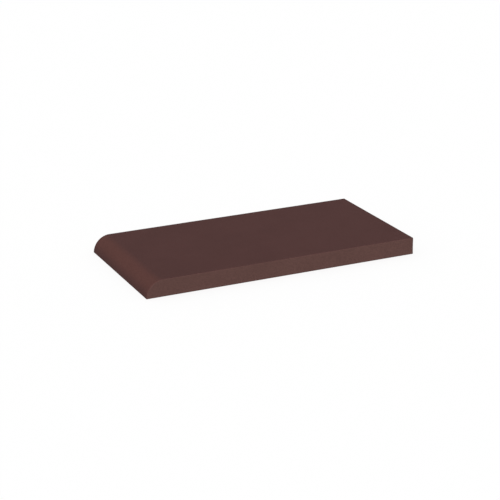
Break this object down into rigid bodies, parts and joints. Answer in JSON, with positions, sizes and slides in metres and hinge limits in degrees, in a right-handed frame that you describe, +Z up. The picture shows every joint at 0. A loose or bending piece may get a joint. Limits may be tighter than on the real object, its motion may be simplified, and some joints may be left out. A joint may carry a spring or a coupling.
{
  "type": "clinker windowsill tile",
  "caption": "Flat clinker windowsill tile with a quarter-round nose at one short end, square rear and sides, and shallow keying grooves on its underside.",
  "frame": {"origin": "middle of the underside, on the plane that the tile lies on", "axes": "+Z up, out of the weathered face; +X along the length, from the rounded nose at -X to the square rear end; +Y across the width, towards the next tile on the sill"},
  "size_m": [0.2, 0.1, 0.012],
  "materials": {
    "fired_clinker": "matte"
  },
  "bodies": {
    "root": {"windowsill_tile": "fired_clinker"}
  },
  "joints": []
}
